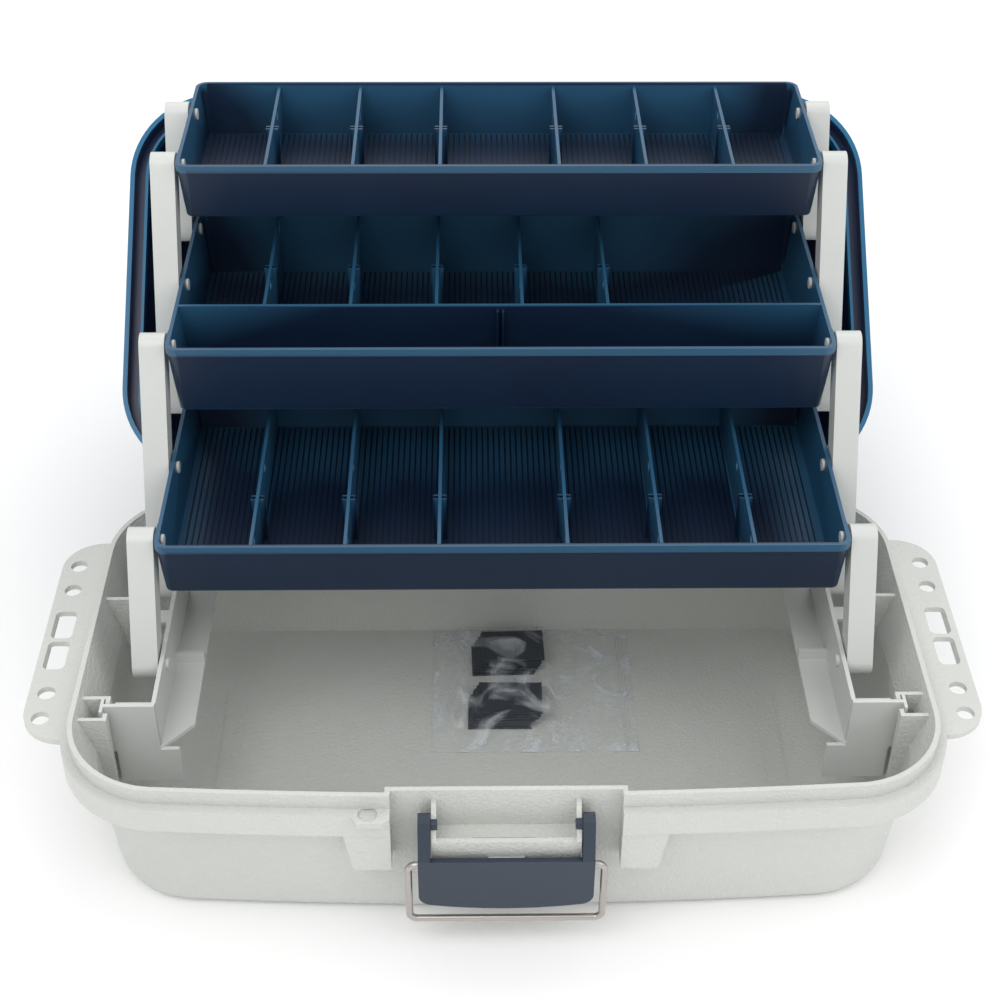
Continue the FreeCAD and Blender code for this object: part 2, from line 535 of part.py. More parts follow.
def make_bracket(label, side):
    """A white bracket that slides into the end wall's channels and carries the lowest pivots and a shelf."""
    bracket = Piece(label)

    def span(a, b):
        return sorted((side * Size.of(a), side * Size.of(b)), key=lambda q: q.value)

    inner, outer = span(S["plate_inner"], S["plate_inner"] + S["plate_thick"])
    bracket.box((inner, S["plate_front"], S["plate_low"]), (outer, S["plate_back"], S["plate_top"]))
    inner, outer = span(S["plate_inner"] + 0.5, 185.0)
    front = S["plate_front"]
    bracket.box((inner, front - S["panel_thick"], S["plate_low"]), (outer, front, S["plate_top"]))
    inner, outer = span(184.2, 185.6)
    bracket.box((inner, front - 5.4, S["plate_low"]), (outer, front + 3.4, S["plate_top"]))
    skirt = span(152.0, 181.0)
    bracket.box((skirt[0], front - S["panel_thick"], S["panel_low"]), (skirt[1], front, S["plate_low"] + 1))
    inner, outer = span(S["shelf_inner"], S["plate_inner"] + 0.5)
    shelf = bracket.outline("XY_Plane", S["shelf_level"] - 2, [
        (inner, front + (14 if side > 0 else -2)), (outer, front + (-2 if side > 0 else 14)),
        (outer, S["plate_back"]), (inner, S["plate_back"])])
    bracket.pad(shelf, 2)
    bracket.box((inner, 8.0, S["shelf_level"] - 1), (outer, 10.0, S["shelf_level"] + 6))
    inner, outer = span(S["plate_inner"] + 0.5, 184.5)
    bracket.box((inner, 28.2, S["plate_low"]), (outer, 30.2, S["rear_panel_top"]))
    inner, outer = span(S["plate_inner"] + 0.5, 180.8)
    bracket.box((inner, 21.0, S["rear_panel_top"] - 2), (outer, 28.7, S["rear_panel_top"]))
    inner, outer = span(S["plate_inner"] + 0.5, 180.5)
    bracket.box((inner, front - 0.5, S["plate_top"] - 8), (outer, front + 7, S["plate_top"] - 6))
    for y in (S["pivot_y"], S["pivot_y"] + S["pivot_gap"]):
        hole = bracket.circle("YZ_Plane", side * S["plate_inner"] - 4, y, S["pivot_level"],
                              S["pin_radius"] + S["pin_play"])
        bracket.pocket(hole, 8, back=True)
    return bracket


def make_lever():
    """The blue latch lever: a bowed plate with two ears that turn on the bracket's cheeks."""
    lever = Piece("latch_lever")
    y, level, half = S["lever_pivot_y"], S["lever_pivot_level"], S["lever_half_length"]
    bottom = level - S["lever_length"]
    face = lever.outline("XZ_Plane", 118.4, [
        (-half, bottom + 3), (half, bottom + 3), (half, S["bail_level"] + 1), (-half, S["bail_level"] + 1)],
        {0: Size.of(3.5)})
    lever.pad(face, S["lever_thick"])
    lever.round_edges(6, lambda e: e.BoundBox.YLength > 2 and e.BoundBox.ZLength < 0.1
                      and abs(e.BoundBox.ZMin - (bottom + 3).value) < 0.2)
    for side in (-1, 1):
        inner = side * (S["cheek_half"] + 0.5)
        low = inner if side > 0 else inner - 5.4
        ear = lever.outline("YZ_Plane", low, [
            (-121.0, bottom + 12), (-117.5, bottom + 12), (y + 4.0, level - 4), (y + 4.2, level + 3),
            (y + 1.0, level + 5.0), (y - 3.0, level + 4.0), (-121.0, S["bail_level"] + 1)])
        lever.pad(ear, 5.4)
        pin = lever.circle("YZ_Plane", inner - S["cheek_thick"] - 1 if side > 0 else inner - 1, y, level,
                           S["pin_radius"] * 0.8)
        lever.pad(pin, S["cheek_thick"] + 2)
    bore = lever.circle("YZ_Plane", -half - 3, S["bail_y"] - 1.2, S["bail_level"] - 3, S["bail_wire"] + 0.08)
    lever.pocket(bore, half * 2 + 6, back=True)
    return lever


def make_wire(label, points, radius):
    """A round wire bent through points, with sharp-looking but rounded corners."""
    edges = []
    start = points[0]
    for i in range(1, len(points) - 1):
        before, corner, after = points[i - 1], points[i], points[i + 1]
        a, b = (before - corner).normalize(), (after - corner).normalize()
        bend = radius * 2.2
        p, q = corner + a * bend, corner + b * bend
        middle = corner + (a + b) * bend * (1 - math.sqrt(0.5))
        edges.append(Part.LineSegment(start, p).toShape())
        edges.append(Part.Arc(p, middle, q).toShape())
        start = q
    edges.append(Part.LineSegment(start, points[-1]).toShape())
    path = Part.Wire(edges)
    profile = Part.Wire([Part.Circle(points[0], points[1] - points[0], radius).toShape()])
    feature = doc.addObject("Part::Feature", label)
    feature.Label = label
    feature.Shape = path.makePipeShell([profile], True, False)
    return feature


def make_bail():
    """The steel wire bail that hangs from the lever."""
    half, y, level = S["bail_half_length"].value, S["bail_y"].value - 1.2, S["bail_level"].value - 3
    low = level - S["bail_drop"].value
    inner = S["cheek_half"].value + 2.0
    points = [FreeCAD.Vector(*p) for p in (
        (-inner, y, level), (-half, y, level), (-half, y, low), (half, y, low), (half, y, level), (inner, y, level))]
    return make_wire("latch_bail", points, S["bail_wire"].value)


def make_pin(label, x, length):
    """A steel hinge pin."""
    pin = doc.addObject("Part::Cylinder", label)
    pin.Label = label
    bind(pin, "Radius", S["hinge_pin"])
    bind(pin, "Height", length)
    pin.Placement = FreeCAD.Placement(
        FreeCAD.Vector(x, S["hinge_y"].value, S["hinge_level"].value),
        FreeCAD.Rotation(FreeCAD.Vector(0, 1, 0), 90))
    return pin


def make_handle():
    """The blue carrying handle, drawn lying on the shut lid towards its back."""
    handle = Piece("carry_handle")
    half, reach, thick = S["handle_half_length"], S["handle_reach"], S["handle_thick"]
    grip = handle.outline("XY_Plane", 214.6, [
        (-half, -3.4), (-half + 9, -3.4), (-half + 9, reach - 11), (half - 9, reach - 11), (half - 9, -3.4),
        (half, -3.4), (half, reach), (-half, reach)])
    handle.pad(grip, thick * 0.5)
    handle.round_edges(8, lambda e: upright(e, 205, 235, half.value - 1) and e.CenterOfMass.y > reach.value - 1)
    for side in (-1, 1):
        start = side * half - (1 if side > 0 else 6.0)
        handle.pad(handle.circle("YZ_Plane", start, 0, 216.4, S["handle_pin"]), 7.0)
    return handle


def make_spares():
    """Loose dividers for the trays, stacked in two rows in the tub."""
    count = 12
    parts = []
    for i in range(count):
        box = doc.addObject("Part::Box", "spare_divider_%d" % (i + 1))
        bind(box, "Length", S["spare_length"])
        bind(box, "Width", S["spare_height"])
        bind(box, "Height", S["spare_thick"])
        row, step = divmod(i, 6)
        box.Placement.Base = FreeCAD.Vector(-19 + step * 1.1 + row * 2.0, 14 + row * 40 + step * 0.6,
                                            3.0 + step * (S["spare_thick"].value + 0.05))
        parts.append(box)
    group = doc.addObject("Part::Compound", "spare_dividers")
    group.Label = "spare_dividers"
    group.Links = parts
    return group


def make_bag():
    """The clear bag around the loose dividers: a thin closed skin, flat at its mouth."""
    bag = Piece("divider_bag")
    bag.box((-36.0, -1.0, 2.55), (70.0, 91.0, 13.5))
    bag.round_edges(4.0, lambda e: upright(e, 2.5, 15, 10))
    inner = bag.outline("XZ_Plane", -90.4, rectangle(-35.4, 2.95, 69.4, 13.1))
    bag.pocket(inner, 90.8, back=True)
    return bag


# ---------------------------------------------------------------- the assembly

rise, run, gap = S["arm_rise"], S["arm_run"], S["pivot_gap"]
first = S["pivot_y"] + run                                # front pivot of the low tray
levels = [S["pivot_level"] + rise, S["pivot_level"] + rise * 2, S["pivot_level"] + rise * 3]
fronts = [first, first + gap + run, first + gap * 2 + run * 2]
rims = [level + S["pivot_drop"] for level in levels]

made = {"base": make_base().body, "lid": make_lid().body}
made["tray_low"] = make_tray("tray_low", fronts[0] - S["pivot_back"], rims[0], S["low_height"], S["deep_tray"],
                             [fronts[0] + gap, fronts[0] + gap * 2], [fronts[0]], FIXED_DIVIDERS).body
made["tray_middle"] = make_tray("tray_middle", fronts[1] - S["pivot_back"], rims[1], S["middle_height"],
                                S["deep_tray"], [fronts[1], fronts[1] + gap * 2], [fronts[1] + gap],
                                MIDDLE_DIVIDERS, trough=True).body
made["tray_top"] = make_tray("tray_top", fronts[2] - S["pivot_back"], rims[2], S["top_height"], S["top_depth"],
                             [fronts[2]], [fronts[2] + gap], FIXED_DIVIDERS).body
for hand, side in (("left", -1), ("right", 1)):
    made["bracket_" + hand] = make_bracket("bracket_" + hand, side).body
    made["arm_front_" + hand] = make_arm("arm_front_" + hand, side, S["pivot_y"], S["pivot_level"], (0, 1)).body
    made["arm_low_long_" + hand] = make_arm("arm_low_long_" + hand, side, S["pivot_y"] + gap,
                                            S["pivot_level"], (0, 1, 2)).body
    made["arm_high_long_" + hand] = make_arm("arm_high_long_" + hand, side, fronts[0] + gap * 2,
                                             levels[0], (0, 1, 2)).body
    made["arm_back_" + hand] = make_arm("arm_back_" + hand, side, fronts[1] + gap * 2, levels[1], (0, 1)).body
made["latch_lever"] = make_lever().body
made["latch_bail"] = make_bail()
made["hinge_pin_left"] = make_pin("hinge_pin_left", -132.0, 44.0)
made["hinge_pin_right"] = make_pin("hinge_pin_right", 88.0, 44.0)
made["carry_handle"] = make_handle().body
made["spare_dividers"] = make_spares()
made["divider_bag"] = make_bag().body

# The lid swings back about its hinge, and the handle with it, then hangs from its lugs.
axis = FreeCAD.Vector(0, S["hinge_y"].value, S["hinge_level"].value)
open_turn = FreeCAD.Placement(FreeCAD.Vector(), FreeCAD.Rotation(FreeCAD.Vector(1, 0, 0), -S["lid_angle"].value), axis)
made["lid"].Placement = open_turn
hang = FreeCAD.Placement(FreeCAD.Vector(), FreeCAD.Rotation(FreeCAD.Vector(1, 0, 0), S["lid_angle"].value - 90.0),
                         FreeCAD.Vector(0, 0, 216.4))
made["carry_handle"].Placement = open_turn.multiply(hang)
doc.recompute()

for thing in doc.Objects:
    if "Invalid" in thing.State or "Error" in thing.State:
        raise RuntimeError(thing.Name + " failed: " + str(thing.State))
os.makedirs("parts", exist_ok=True)
for label, thing in made.items():
    shape = thing.Shape
    if shape.isNull() or not shape.isValid() or not shape.Solids:
        raise RuntimeError(label + " has no valid shape")
    shape.exportStep(os.path.join("parts", label + ".step"))
    box = shape.BoundBox
    print("%-20s solids %2d volume %9.0f  x %.1f..%.1f y %.1f..%.1f z %.1f..%.1f" % (
        label, len(shape.Solids), shape.Volume, box.XMin, box.XMax, box.YMin, box.YMax, box.ZMin, box.ZMax))
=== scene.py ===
"""Looks for the fishing tackle box: finishes for the moulded pieces, and the fine detail on them."""

import logging
import math
from dataclasses import dataclass
from enum import Enum

import bmesh
import bpy
from mathutils import Matrix, Vector


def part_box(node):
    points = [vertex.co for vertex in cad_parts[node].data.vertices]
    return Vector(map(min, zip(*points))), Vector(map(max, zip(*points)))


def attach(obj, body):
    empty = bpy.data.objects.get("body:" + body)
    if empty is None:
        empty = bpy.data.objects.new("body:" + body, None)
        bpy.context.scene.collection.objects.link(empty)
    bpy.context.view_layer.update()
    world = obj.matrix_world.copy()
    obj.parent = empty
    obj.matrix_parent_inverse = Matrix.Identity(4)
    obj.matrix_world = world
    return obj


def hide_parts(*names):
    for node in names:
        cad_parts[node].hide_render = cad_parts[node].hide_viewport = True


LOG = logging.getLogger("tackle_box")
MM = 0.001
PLASTIC_IOR = 1.49
SCATTER_RADIUS = (0.3, 0.5, 1.0)
SCATTER_DEPTH = 2 * MM
# Pointiness range over which the painted edge highlight fades in.
HIGHLIGHT_STARTS, HIGHLIGHT_IS_FULL = 0.505, 0.56
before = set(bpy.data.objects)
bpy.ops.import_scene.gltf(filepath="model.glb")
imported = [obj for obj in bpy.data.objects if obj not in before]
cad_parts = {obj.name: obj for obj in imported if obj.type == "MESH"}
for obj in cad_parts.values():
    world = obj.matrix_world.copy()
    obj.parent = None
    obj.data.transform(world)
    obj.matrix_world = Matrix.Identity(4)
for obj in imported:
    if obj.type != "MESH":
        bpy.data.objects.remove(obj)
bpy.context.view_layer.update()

Colour = tuple[float, float, float, float]
Triple = tuple[float, float, float]


@dataclass(frozen=True)
class GrainLook:
    """How fine and how strong a grain is, with its depth in metres."""

    scale: float
    strength: float
    depth: float


class Grain(Enum):
    """How a moulded surface is textured."""

    SMOOTH = GrainLook(60.0, 0.06, 0.0002)
    LEATHER = GrainLook(620.0, 0.6, 0.0005)
    SATIN = GrainLook(420.0, 0.16, 0.00015)


def new_shader(name: str) -> tuple[bpy.types.Material, bpy.types.NodeTree, bpy.types.Node]:
    """Starts a material.

    Args:
        name: The material's name.

    Returns:
        The material, its nodes and its main shader.
    """
    mat = bpy.data.materials.new(name)
    mat.use_nodes = True
    return mat, mat.node_tree, mat.node_tree.nodes["Principled BSDF"]


def add_texture(tree: bpy.types.NodeTree, kind: str, **settings: float) -> bpy.types.Node:
    """Adds a texture that follows the piece.

    Args:
        tree: The material's nodes.
        kind: The texture node's type.
        **settings: The texture's inputs by name.

    Returns:
        The texture node.
    """
    where = tree.nodes.new("ShaderNodeTexCoord")
    texture = tree.nodes.new(kind)
    for label, value in settings.items():
        texture.inputs[label].default_value = value
    tree.links.new(where.outputs["Object"], texture.inputs["Vector"])
    return texture


def add_bump(tree: bpy.types.NodeTree, shader: bpy.types.Node, height: bpy.types.NodeSocket,
             strength: float, depth: float) -> None:
    """Adds a bump to a shader's normal.

    Args:
        tree: The material's nodes.
        shader: The shader that takes the bump.
        height: The socket that gives the height.
        strength: How strongly it shows.
        depth: Its depth in metres.
    """
    bump = tree.nodes.new("ShaderNodeBump")
    bump.inputs["Strength"].default_value = strength
    bump.inputs["Distance"].default_value = depth
    tree.links.new(height, bump.inputs["Height"])
    tree.links.new(bump.outputs["Normal"], shader.inputs["Normal"])


@dataclass(frozen=True)
class Plastic:
    """A moulded plastic: its colour and darker patches, gloss, grain, passed light and a painted highlight on
    thin edges.
    """

    name: str
    colour: Colour
    deep: Colour
    roughness: float
    grain: Grain
    passes: float = 0.0
    painted_edge_highlight: Colour = (0.0, 0.0, 0.0, 1.0)

    def build(self) -> bpy.types.Material:
        """Makes the material.

        Returns:
            The material, with its grain as a bump and its colour slightly uneven.
        """
        mat, tree, shader = new_shader(self.name)
        shader.inputs["Roughness"].default_value = self.roughness
        shader.inputs["IOR"].default_value = PLASTIC_IOR
        shader.inputs["Subsurface Weight"].default_value = self.passes
        shader.inputs["Subsurface Radius"].default_value = SCATTER_RADIUS
        shader.inputs["Subsurface Scale"].default_value = SCATTER_DEPTH
        cloud = add_texture(tree, "ShaderNodeTexNoise", Scale=9.0, Detail=4.0)
        ramp = tree.nodes.new("ShaderNodeValToRGB")
        ramp.color_ramp.elements[0].position = 0.3
        ramp.color_ramp.elements[1].position = 0.75
        ramp.color_ramp.elements[0].color = self.deep
        ramp.color_ramp.elements[1].color = self.colour
        tree.links.new(cloud.outputs["Fac"], ramp.inputs["Fac"])
        tree.links.new(self._paint_edge_highlight(tree, ramp.outputs["Color"]), shader.inputs["Base Color"])
        self._bump(tree, shader)
        return mat

    def _paint_edge_highlight(self, tree: bpy.types.NodeTree, colour: bpy.types.NodeSocket) -> bpy.types.NodeSocket:
        """Paints a highlight on thin edges: a lighter colour is mixed into the base colour where pointiness
        is high, standing in for light gathering in the plastic.

        Args:
            tree: The material's nodes.
            colour: The colour away from the edges.

        Returns:
            The colour with its edges lightened.
        """
        if self.painted_edge_highlight[:3] == (0.0, 0.0, 0.0):
            return colour
        # Painted highlight: a lighter colour is mixed into the base colour on thin, pointy edges.
        shape = tree.nodes.new("ShaderNodeNewGeometry")
        edge = tree.nodes.new("ShaderNodeValToRGB")
        edge.color_ramp.elements[0].position = HIGHLIGHT_STARTS
        edge.color_ramp.elements[1].position = HIGHLIGHT_IS_FULL
        tree.links.new(shape.outputs["Pointiness"], edge.inputs["Fac"])
        mix = tree.nodes.new("ShaderNodeMix")
        mix.data_type = "RGBA"
        for socket in mix.inputs:
            if socket.identifier == "B_Color":
                socket.default_value = self.painted_edge_highlight
            if socket.identifier == "A_Color":
                tree.links.new(colour, socket)
            if socket.identifier == "Factor_Float":
                tree.links.new(edge.outputs["Color"], socket)
        return next(s for s in mix.outputs if s.identifier == "Result_Color")

    def _bump(self, tree: bpy.types.NodeTree, shader: bpy.types.Node) -> None:
        """Adds the grain to the shader's normal.

        Args:
            tree: The material's nodes.
            shader: The shader that takes the bump.
        """
        look = self.grain.value
        if self.grain is Grain.LEATHER:
            height = add_texture(tree, "ShaderNodeTexVoronoi", Scale=look.scale).outputs["Distance"]
        else:
            height = add_texture(tree, "ShaderNodeTexNoise", Scale=look.scale, Detail=3.0).outputs["Fac"]
        add_bump(tree, shader, height, look.strength, look.depth)


@dataclass(frozen=True)
class Steel:
    """Bright steel wire."""

    name: str = "steel_wire"
    colour: Colour = (0.46, 0.43, 0.41, 1.0)

    def build(self) -> bpy.types.Material:
        """Makes the material.

        Returns:
            Steel with fine draw marks.
        """
        mat, tree, shader = new_shader(self.name)
        shader.inputs["Metallic"].default_value = 1.0
        shader.inputs["Base Color"].default_value = self.colour
        marks = add_texture(tree, "ShaderNodeTexNoise", Scale=900.0)
        spread = tree.nodes.new("ShaderNodeMapRange")
        spread.inputs["To Min"].default_value = 0.22
        spread.inputs["To Max"].default_value = 0.4
        tree.links.new(marks.outputs["Fac"], spread.inputs["Value"])
        tree.links.new(spread.outputs["Result"], shader.inputs["Roughness"])
        return mat


@dataclass(frozen=True)
class ClearFilm:
    """Thin clear film with soft creases and painted highlights along them."""

    name: str = "clear_film"

    def build(self) -> bpy.types.Material:
        """Makes the material.

        Returns:
            A mostly clear, glossy film.
        """
        mat, tree, shader = new_shader(self.name)
        shader.inputs["Base Color"].default_value = (0.85, 0.9, 0.95, 1.0)
        shader.inputs["Roughness"].default_value = 0.12
        creases = add_texture(tree, "ShaderNodeTexNoise", Scale=38.0, Detail=6.0, Distortion=2.0)
        add_bump(tree, shader, creases.outputs["Fac"], 0.6, 0.004)
        # Painted highlight: the pale film colour turns more opaque along the crease peaks, standing in for
        # the light the creases catch.
        sheen = tree.nodes.new("ShaderNodeMapRange")
        sheen.inputs["From Min"].default_value = 0.5
        sheen.inputs["From Max"].default_value = 0.75
        sheen.inputs["To Min"].default_value = 0.05
        sheen.inputs["To Max"].default_value = 0.55
        tree.links.new(creases.outputs["Fac"], sheen.inputs["Value"])
        tree.links.new(sheen.outputs["Result"], shader.inputs["Alpha"])
        return mat


WHITE = Plastic("white_moulding", (0.60, 0.615, 0.585, 1.0), (0.55, 0.565, 0.535, 1.0),
                0.40, Grain.LEATHER, 0.05)
WHITE_ARM = Plastic("white_arm", (0.61, 0.625, 0.605, 1.0), (0.57, 0.585, 0.565, 1.0),
                    0.36, Grain.SATIN, 0.05)
# The tray blue's last colour is a painted highlight on its thin edges.
BLUE = Plastic("blue_tray", (0.0065, 0.021, 0.052, 1.0), (0.004, 0.013, 0.036, 1.0),
               0.36, Grain.SATIN, 0.0, (0.02, 0.085, 0.165, 1.0))
LATCH_BLUE = Plastic("blue_latch", (0.022, 0.036, 0.060, 1.0), (0.016, 0.028, 0.048, 1.0),
                     0.34, Grain.SATIN)
DARK_BLUE = Plastic("blue_floor", (0.0035, 0.009, 0.022, 1.0), (0.0025, 0.006, 0.015, 1.0),
                    0.45, Grain.SATIN)
# The lid's last colour is a painted highlight on its thin edges.
BLUE_LID = Plastic("blue_lid", (0.004, 0.022, 0.085, 1.0), (0.003, 0.012, 0.055, 1.0),
                   0.3, Grain.SMOOTH, 0.0, (0.0, 0.13, 0.28, 1.0))


def piece_from(mesh_name: str, bm: bmesh.types.BMesh, mat: bpy.types.Material) -> bpy.types.Object:
    """Turns a bmesh into a shown piece.

    Args:
        mesh_name: The piece's name.
        bm: The finished mesh, which this frees.
        mat: Its material.

    Returns:
        The linked object.
    """
    bmesh.ops.recalc_face_normals(bm, faces=bm.faces)
    mesh = bpy.data.meshes.new(mesh_name)
    bm.to_mesh(mesh)
    bm.free()
    mesh.materials.append(mat)
    obj = bpy.data.objects.new(mesh_name, mesh)
    bpy.context.scene.collection.objects.link(obj)
    return obj


def soften(obj: bpy.types.Object, width: float) -> None:
    """Rounds a piece's edges.

    Args:
        obj: The piece.
        width: How far the rounding reaches, in metres.
    """
    bevel = obj.modifiers.new("Soften", "BEVEL")
    bevel.width = width
    bevel.segments = 2


def dress(node: str, mat: bpy.types.Material) -> None:
    """Gives every material slot of a CAD node one material.

    Args:
        node: The node's name.
        mat: The material.
    """
    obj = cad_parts[node]
    if not obj.material_slots:
        obj.data.materials.append(mat)
    for holder in obj.material_slots:
        holder.material = mat


def array_tree(name: str, mat: bpy.types.Material) -> bpy.types.NodeTree:
    """A tree that repeats a bar along X at an even pitch.

    Args:
        name: The tree's name.
        mat: The bars' material.

    Returns:
        The tree, with inputs Count, Pitch, Bar (a size) and Start (a place).
    """
    tree = bpy.data.node_groups.new(name, "GeometryNodeTree")
    for label, kind in (("Count", "NodeSocketInt"), ("Pitch", "NodeSocketFloat"),
                        ("Bar", "NodeSocketVector"), ("Start", "NodeSocketVector")):
        tree.interface.new_socket(label, in_out="INPUT", socket_type=kind)
    tree.interface.new_socket("Geometry", in_out="OUTPUT", socket_type="NodeSocketGeometry")
    add, link = tree.nodes.new, tree.links.new
    given, result = add("NodeGroupInput"), add("NodeGroupOutput")
    bar, line, pitch = add("GeometryNodeMeshCube"), add("GeometryNodeMeshLine"), add("ShaderNodeCombineXYZ")
    place, real = add("GeometryNodeInstanceOnPoints"), add("GeometryNodeRealizeInstances")
    paint = add("GeometryNodeSetMaterial")
    paint.inputs["Material"].default_value = mat
    link(given.outputs["Bar"], bar.inputs["Size"])
    link(given.outputs["Count"], line.inputs["Count"])
    link(given.outputs["Start"], line.inputs["Start Location"])
    link(given.outputs["Pitch"], pitch.inputs["X"])
    link(pitch.outputs["Vector"], line.inputs["Offset"])
    link(line.outputs["Mesh"], place.inputs["Points"])
    link(bar.outputs["Mesh"], place.inputs["Instance"])
    link(place.outputs["Instances"], real.inputs["Geometry"])
    link(real.outputs["Geometry"], paint.inputs["Geometry"])
    link(paint.outputs["Geometry"], result.inputs[0])
    return tree


def repeated_bars(name: str, mat: bpy.types.Material, count: int, pitch: float,
                  bar: Triple, start: Triple) -> bpy.types.Object:
    """Even bars along X as one plain mesh with softened edges.

    Args:
        name: The piece's name.
        mat: Its material.
        count: How many bars.
        pitch: Their spacing in metres.
        bar: One bar's size.
        start: The first bar's middle.

    Returns:
        The finished piece.
    """
    tree = array_tree(name + "_tree", mat)
    holder = bpy.data.objects.new(name + "_maker", bpy.data.meshes.new(name + "_maker"))
    bpy.context.scene.collection.objects.link(holder)
    modifier = holder.modifiers.new("Repeat", "NODES")
    modifier.node_group = tree
    values = {"Count": count, "Pitch": pitch, "Bar": bar, "Start": start}
    for item in tree.interface.items_tree:
        if item.in_out == "INPUT" and item.name in values:
            modifier[item.identifier] = values[item.name]
    bpy.context.view_layer.update()
    evaluated = holder.evaluated_get(bpy.context.evaluated_depsgraph_get())
    mesh = bpy.data.meshes.new_from_object(evaluated)
    mesh.name = name
    bpy.data.objects.remove(holder)
    obj = bpy.data.objects.new(name, mesh)
    bpy.context.scene.collection.objects.link(obj)
    soften(obj, min(bar) * 0.3)
    LOG.info("%s: %d bars", name, count)
    return obj


@dataclass
class Tray:
    """One blue tray: its finish, and the fine ribs on its floor."""

    node: str
    body: str
    wall: float = 4.8 * MM
    floor: float = 1.8 * MM
    gap: float = 2 * MM
    pitch: float = 2.9 * MM
    rib_width: float = 0.7 * MM
    rib_height: float = 0.5 * MM
    rib_rise: float = 0.15 * MM
    back_shift: float = 0.5 * MM

    def build(self, mat: bpy.types.Material, rib_mat: bpy.types.Material) -> None:
        """Dresses the tray and lays its ribs.

        Args:
            mat: The tray's material.
            rib_mat: The ribs' darker material.
        """
        dress(self.node, mat)
        low, high = (Vector(v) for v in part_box(self.node))
        inside = high.x - low.x - 2 * self.wall - self.gap
        count = int(inside / self.pitch)
        length = (high.y - low.y) - 2 * self.wall - 2 * self.gap
        start = (low.x + self.wall + self.gap + self.pitch / 2, (low.y + high.y) / 2 + self.back_shift,
                 low.z + self.floor + self.rib_rise)
        ribs = repeated_bars(self.node + "_floor_ribs", rib_mat, count, self.pitch,
                             (self.rib_width, length, self.rib_height), start)
        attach(ribs, self.body)


@dataclass
class DividerStack:
    """The loose dividers in the bag: small plates with thicker ends, in two stacks."""

    count: int = 12
    length: float = 34 * MM
    height: float = 24 * MM
    thick: float = 1.3 * MM
    first_corner: Triple = (-17.6 * MM, 14.7 * MM, 3.0 * MM)
    next_plate: Triple = (1.1 * MM, 0.6 * MM, 1.55 * MM)
    next_row: Triple = (2.0 * MM, 40 * MM, 0.0)
    askew: float = math.radians(1.5)

    def build(self, mat: bpy.types.Material) -> None:
        """Makes the stack in place of its plain solids.

        Args:
            mat: The dividers' material.
        """
        bm = bmesh.new()
        for number in range(self.count):
            row, step = divmod(number, self.count // 2)
            turn = Matrix.Rotation(self.askew * math.sin(number * 2.4), 4, "Z")
            corner = Vector(self.first_corner) + step * Vector(self.next_plate) + row * Vector(self.next_row)
            middle = corner + Vector((self.length / 2, self.height / 2, self.thick / 2))
            self._plate(bm, Matrix.Translation(middle) @ turn)
        stack = piece_from("spare_divider_stack", bm, mat)
        soften(stack, 0.3 * MM)
        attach(stack, "base_body")
        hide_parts("spare_dividers")

    def _plate(self, bm: bmesh.types.BMesh, place: Matrix) -> None:
        """Adds one divider with thicker ends.

        Args:
            bm: The mesh that takes it.
            place: Where its middle goes.
        """
        for x, width, thick in ((0.0, 0.97, 0.72), (-0.46, 0.05, 1.0), (0.46, 0.05, 1.0)):
            size = Matrix.Diagonal((self.length * width, self.height * 0.95, self.thick * thick, 1.0))
            shift = Matrix.Translation((x * self.length, 0.0, 0.0))
            bmesh.ops.create_cube(bm, size=1.0, matrix=place @ shift @ size)


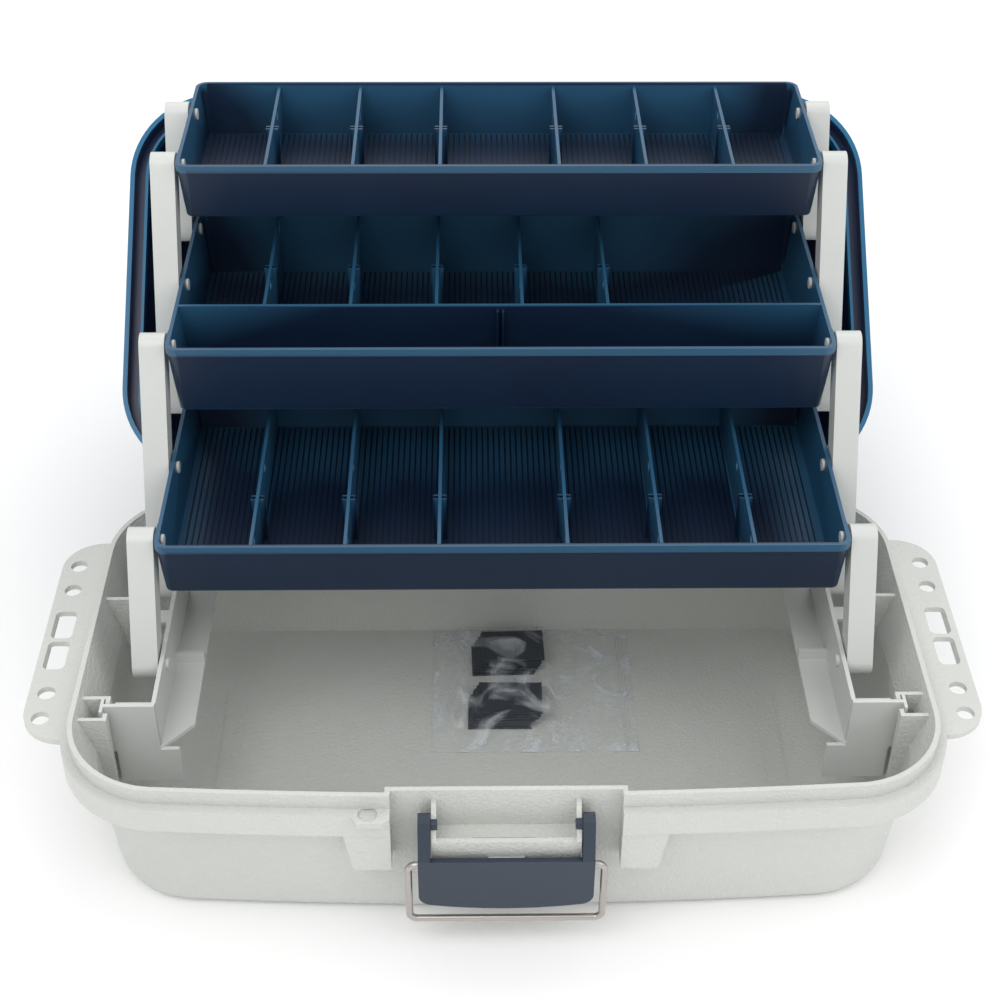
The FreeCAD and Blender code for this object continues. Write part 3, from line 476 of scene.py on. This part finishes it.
@dataclass
class Bag:
    """The clear bag: a soft, creased pouch with a flat zip strip at its mouth."""

    steps: int = 72
    stack_x: tuple[float, float] = (-20.5 * MM, 24.0 * MM)
    stack_y: tuple[float, float] = (12.5 * MM, 82.5 * MM)
    drape: float = 8.0 * MM
    lines: int = 3
    line_pitch: float = 1.6 * MM
    line_width: float = 0.7 * MM
    under: float = 0.3 * MM

    def build(self, mat: bpy.types.Material) -> None:
        """Makes the pouch from two creased skins that meet at its edge.

        Args:
            mat: The film.
        """
        low, high = (Vector(v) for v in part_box("divider_bag"))
        bm = bmesh.new()
        skins = [self._skin(bm, low, high, top) for top in (False, True)]
        last = self.steps
        for i in range(last):
            for a, b in (((i, 0), (i + 1, 0)), ((i, last), (i + 1, last)), ((0, i), (0, i + 1)),
                         ((last, i), (last, i + 1))):
                bm.faces.new((skins[0][a], skins[0][b], skins[1][b], skins[1][a]))
        bag = piece_from("clear_bag", bm, mat)
        for face in bag.data.polygons:
            face.use_smooth = True
        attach(bag, "base_body")
        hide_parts("divider_bag")
        strip = repeated_bars("bag_zip_strip", mat, self.lines, self.line_pitch,
                              (self.line_width, (high.y - low.y) * 0.93, self.line_width),
                              (high.x - 7 * MM, (low.y + high.y) / 2, low.z + 2.1 * MM))
        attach(strip, "base_body")

    def _over_stack(self, x: float, y: float) -> float:
        """How far the film is lifted by the dividers under it.

        Args:
            x: The place along the box.
            y: The place across it.

        Returns:
            1 over the stack, falling smoothly to 0 beside it.
        """
        beside = math.hypot(max(self.stack_x[0] - x, 0.0, x - self.stack_x[1]),
                            max(self.stack_y[0] - y, 0.0, y - self.stack_y[1]))
        near = max(0.0, 1.0 - beside / self.drape)
        return near * near * (3.0 - 2.0 * near)

    def _skin(self, bm: bmesh.types.BMesh, low: Vector, high: Vector,
              top: bool) -> dict[tuple[int, int], bmesh.types.BMVert]:
        """Adds one side of the pouch.

        Args:
            bm: The mesh that takes it.
            low: The lowest corner of the pouch.
            high: Its highest corner.
            top: True for the upper skin.

        Returns:
            The skin's vertices by row and column.
        """
        verts = {}
        for i in range(self.steps + 1):
            for j in range(self.steps + 1):
                u, v = i / self.steps, j / self.steps
                x, y = low.x + (high.x - low.x) * u, low.y + (high.y - low.y) * v
                rim = min(1.0, 9.0 * min(u, 1.0 - u, v, 1.0 - v))
                crease = 0.5 + 0.5 * math.sin(31 * u + 9 * v) * math.sin(23 * v - 7 * u)
                if top:
                    slack = (1.0 + rim * (0.8 + 1.8 * crease)) * MM
                    over = self._over_stack(x, y)
                    z = low.z + slack * (1.0 - over) + over * (high.z - low.z - 0.6 * MM * (1.0 - crease))
                else:
                    z = low.z + self.under
                verts[i, j] = bm.verts.new((x, y, z))
        for i in range(self.steps):
            for j in range(self.steps):
                bm.faces.new((verts[i, j], verts[i + 1, j], verts[i + 1, j + 1], verts[i, j + 1]))
        return verts


@dataclass
class Studio:
    """A pale floor, three soft lights and the camera."""

    eye: Triple = (-0.01408, -0.6498, 0.6742)
    pitch: float = 38.06
    yaw: float = 1.08
    roll: float = 0.43
    lens: float = 65.43
    aim: Triple = (0.0, 0.05, 0.1)
    sky: float = 0.82

    def build(self) -> None:
        """Sets up the studio."""
        self._floor()
        self._camera()
        self._light("key_light", (-0.5, -0.7, 1.3), 1.0, 6.5)
        self._light("fill_light", (0.9, -0.5, 1.0), 1.2, 4.0)
        self._light("back_light", (0.1, 0.9, 1.4), 1.3, 5.5)
        world = bpy.data.worlds.new("studio")
        world.use_nodes = True
        world.node_tree.nodes["Background"].inputs["Color"].default_value = (1.0, 1.0, 1.0, 1.0)
        world.node_tree.nodes["Background"].inputs["Strength"].default_value = self.sky
        bpy.context.scene.world = world
        bpy.context.scene.view_settings.view_transform = "Standard"

    def _floor(self) -> None:
        """A wide pale sheet under the box."""
        bm = bmesh.new()
        bmesh.ops.create_grid(bm, x_segments=1, y_segments=1, size=6.0)
        mat, _, shader = new_shader("pale_floor")
        shader.inputs["Base Color"].default_value = (0.97, 0.97, 0.97, 1.0)
        shader.inputs["Roughness"].default_value = 0.85
        floor = piece_from("studio_floor", bm, mat)
        floor.location.z = -0.5 * MM

    def _camera(self) -> None:
        """The camera, from in front and above."""
        data = bpy.data.cameras.new("camera")
        data.sensor_width = 36.0
        data.lens = self.lens
        data.clip_start = 0.01
        camera = bpy.data.objects.new("camera", data)
        turn = (Matrix.Rotation(math.radians(-self.yaw), 4, "Z")
                @ Matrix.Rotation(math.radians(90.0 - self.pitch), 4, "X")
                @ Matrix.Rotation(math.radians(self.roll), 4, "Z"))
        camera.matrix_world = Matrix.Translation(self.eye) @ turn
        bpy.context.scene.collection.objects.link(camera)
        bpy.context.scene.camera = camera

    def _light(self, name: str, place: Triple, size: float, power: float) -> None:
        """Adds a soft square light that faces the box.

        Args:
            name: The light's name.
            place: Where it hangs.
            size: Its side in metres.
            power: Its power in watts.
        """
        data = bpy.data.lights.new(name, "AREA")
        data.size = size
        data.energy = power
        light = bpy.data.objects.new(name, data)
        light.location = place
        towards = Vector(self.aim) - Vector(place)
        light.rotation_euler = towards.to_track_quat("-Z", "Y").to_euler()
        bpy.context.scene.collection.objects.link(light)


def main() -> None:
    """Builds the finishes, the pieces and the studio in order."""
    logging.basicConfig(level=logging.INFO)
    white, arm, blue, dark, lid = (finish.build() for finish in (WHITE, WHITE_ARM, BLUE, DARK_BLUE, BLUE_LID))
    steel, film = Steel().build(), ClearFilm().build()
    dress("base", white)
    for hand in ("left", "right"):
        for kind in ("bracket", "arm_front", "arm_low_long", "arm_high_long", "arm_back"):
            dress(kind + "_" + hand, arm)
        dress("hinge_pin_" + hand, steel)
    dress("lid", lid)
    latch = LATCH_BLUE.build()
    dress("carry_handle", latch)
    dress("latch_lever", latch)
    dress("latch_bail", steel)
    for node, body in (("tray_low", "low_tray_body"), ("tray_middle", "middle_tray_body"),
                       ("tray_top", "top_tray_body")):
        Tray(node, body).build(blue, dark)
    DividerStack().build(dark)
    Bag().build(film)
    Studio().build()
    LOG.info("all pieces built")


if __name__ == "__main__":
    main()
